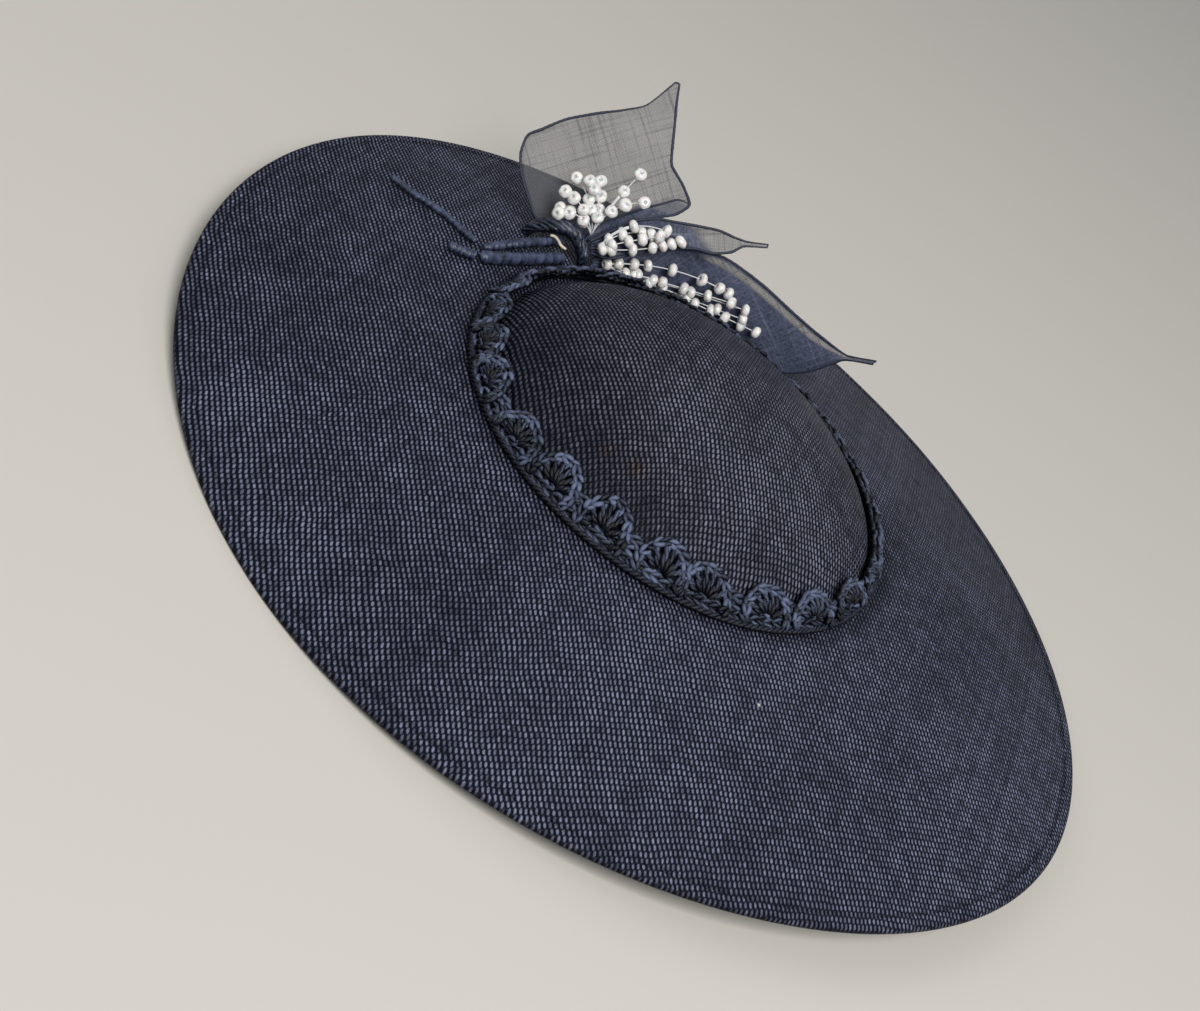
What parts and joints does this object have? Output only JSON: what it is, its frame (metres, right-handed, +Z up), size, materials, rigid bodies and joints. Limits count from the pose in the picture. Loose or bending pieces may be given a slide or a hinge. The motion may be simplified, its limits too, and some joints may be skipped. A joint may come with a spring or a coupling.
{
  "type": "saucer fascinator hat",
  "caption": "Shallow woven saucer hat with a wide gently warped brim, low dome, scalloped crochet braid, sheer organza petals, pearl bead sprays and wrapped stems.",
  "frame": {"origin": "centre of the rim's circle on the surface that the hat rests on, under the middle of its outline", "axes": "+Z up out of the dome, -Y towards the dome's front where the comb lies, +X to the right, so the trim is at the back left"},
  "size_m": [0.38, 0.38, 0.0953],
  "materials": {
    "straw": "open plain weave of stiff fibre, dull with small pale highlights",
    "braid": "crocheted cord, soft sheen",
    "organza": "sheer organza with a rolled edge",
    "cord": "ribbon-wrapped wire, satin",
    "cream": "plain thread",
    "pearl": "pearly",
    "comb_plastic": "smooth"
  },
  "bodies": {
    "root": {"saucer_brim": "straw", "crown_dome": "straw", "crochet_braid": "braid", "petal_upper": "organza", "petal_middle": "organza", "petal_lower": "organza", "stem_lower": "cord", "stem_upper": "cord", "quill_cord": "cord", "stem_end": "cord", "cream_thread": "cream", "trim_binding": "cord", "bead_spray_upper": "pearl", "bead_spray_middle": "pearl", "bead_spray_lower": "pearl", "comb": "comb_plastic"}
  },
  "joints": []
}
